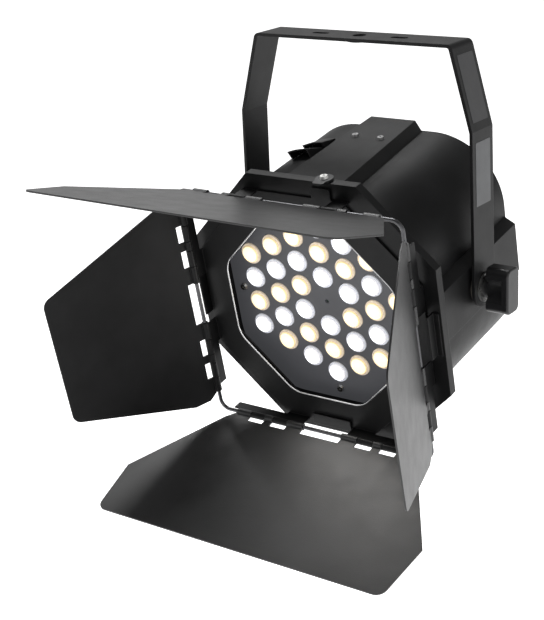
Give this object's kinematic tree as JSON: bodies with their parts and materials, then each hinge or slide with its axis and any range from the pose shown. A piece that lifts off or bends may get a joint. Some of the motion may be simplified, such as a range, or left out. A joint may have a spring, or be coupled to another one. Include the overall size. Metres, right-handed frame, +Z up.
{
  "type": "led wash light",
  "caption": "Black LED wash light with an octagonal front holder, four-leaf barn door and bent flat-bar yoke with tilt clamp knobs.",
  "frame": {"origin": "centre of the clamp bolt hole, at the top face of the yoke's top bar", "axes": "+Z up, the light faces -Y, +X to the right seen from the front"},
  "size_m": [0.2871, 0.3098, 0.3312],
  "materials": {
    "black_powder": "fine textured matte powder coat",
    "label": "blank printed film",
    "zinc_screw": "zinc plated",
    "black_plastic": "moulded",
    "lens_clear": "clear optical plastic",
    "led_glow": "lit emitters",
    "circuit": "solder mask",
    "bare_aluminium": "extruded",
    "supply_case": "plated sheet",
    "window": "smoked window",
    "fibre": "fibre friction lining",
    "lens_black": "satin black",
    "wire_black": "blackened spring wire"
  },
  "bodies": {
    "yoke_frame": {"yoke": "black_powder", "hang_bush": "black_powder", "upper_label": "label", "lower_label": "label"},
    "knob_right_turn": {"knob_right": "black_plastic", "stud_right": "zinc_screw", "washer_right": "zinc_screw"},
    "knob_left_turn": {"knob_left": "black_plastic", "stud_left": "zinc_screw", "washer_left": "zinc_screw"},
    "latch_arm": {"latch": "black_plastic", "latch_screw": "zinc_screw"},
    "top_leaf": {"leaf_top": "black_powder"},
    "right_leaf": {"leaf_right": "black_powder"},
    "bottom_leaf": {"leaf_bottom": "black_powder"},
    "left_leaf": {"leaf_left": "black_powder"},
    "button_1_key": {"button_1": "black_plastic"},
    "button_2_key": {"button_2": "black_plastic"},
    "button_3_key": {"button_3": "black_plastic"},
    "button_4_key": {"button_4": "black_plastic"},
    "head": {"barn_plate": "black_powder", "body_shell": "black_powder", "bottom_channel": "black_powder", "chassis_tray": "supply_case", "connector_screws": "zinc_screw", "control_board": "circuit", "display_window": "window", "dmx_in": "black_plastic", "dmx_out": "black_plastic", "friction_disc_left": "fibre", "friction_disc_right": "fibre", "fuse_holder": "black_plastic", "guide_bottom": "black_powder", "guide_left": "black_powder", "guide_right": "black_powder", "heat_sink": "bare_aluminium", "hinge_wire": "wire_black", "holder": "black_powder", "led_board": "circuit", "led_chips": "led_glow", "left_channel": "black_powder", "lens_plate": "lens_black", "lens_plate_screws": "zinc_screw", "lenses": "lens_clear", "louvre_front": "black_powder", "louvre_rear": "black_powder", "pivot_nut_left": "zinc_screw", "pivot_nut_right": "zinc_screw", "power_in": "black_plastic", "power_out": "black_plastic", "power_supply": "supply_case", "rear_panel": "black_powder", "rear_panel_screws": "zinc_screw", "right_channel": "black_powder", "top_channel": "black_powder", "top_channel_screws": "zinc_screw"}
  },
  "joints": [
    {"name": "head_tilt", "type": "hinge", "parent": "yoke_frame", "child": "head", "pos_m": [0, 0, -0.1763], "axis": [1, 0, 0], "range_deg": [-40, 100]},
    {"name": "top_leaf_fold", "type": "hinge", "parent": "head", "child": "top_leaf", "pos_m": [-0.0016, -0.10207, -0.10104], "axis": [-1, 0, 0], "range_deg": [-38, 74]},
    {"name": "bottom_leaf_fold", "type": "hinge", "parent": "head", "child": "bottom_leaf", "pos_m": [-0.0016, -0.06592, -0.28879], "axis": [1, 0, 0], "range_deg": [-26, 86]},
    {"name": "right_leaf_fold", "type": "hinge", "parent": "head", "child": "right_leaf", "pos_m": [0.094, -0.084, -0.19492], "axis": [0, -0.1891, 0.982], "range_deg": [-71, 71]},
    {"name": "left_leaf_fold", "type": "hinge", "parent": "head", "child": "left_leaf", "pos_m": [-0.0972, -0.084, -0.19492], "axis": [0, 0.1891, -0.982], "range_deg": [-71, 71]},
    {"name": "latch_turn", "type": "hinge", "parent": "head", "child": "latch_arm", "pos_m": [0.023, -0.08603, -0.08492], "axis": [0, -0.1891, 0.982], "range_deg": [-95, 95]},
    {"name": "knob_right_spin", "type": "hinge", "parent": "yoke_frame", "child": "knob_right_turn", "pos_m": [0.11, 0, -0.1763], "axis": [1, 0, 0], "continuous": true},
    {"name": "knob_left_spin", "type": "hinge", "parent": "yoke_frame", "child": "knob_left_turn", "pos_m": [-0.11, 0, -0.1763], "axis": [-1, 0, 0], "continuous": true},
    {"name": "button_1_press", "type": "slide", "parent": "head", "child": "button_1_key", "axis": [0, -0.982, -0.1891], "range_m": [0, 0.0012], "stiffness_N_per_m": 400, "springref_m": -0.0008},
    {"name": "button_2_press", "type": "slide", "parent": "head", "child": "button_2_key", "axis": [0, -0.982, -0.1891], "range_m": [0, 0.0012], "stiffness_N_per_m": 400, "springref_m": -0.0008},
    {"name": "button_3_press", "type": "slide", "parent": "head", "child": "button_3_key", "axis": [0, -0.982, -0.1891], "range_m": [0, 0.0012], "stiffness_N_per_m": 400, "springref_m": -0.0008},
    {"name": "button_4_press", "type": "slide", "parent": "head", "child": "button_4_key", "axis": [0, -0.982, -0.1891], "range_m": [0, 0.0012], "stiffness_N_per_m": 400, "springref_m": -0.0008}
  ]
}
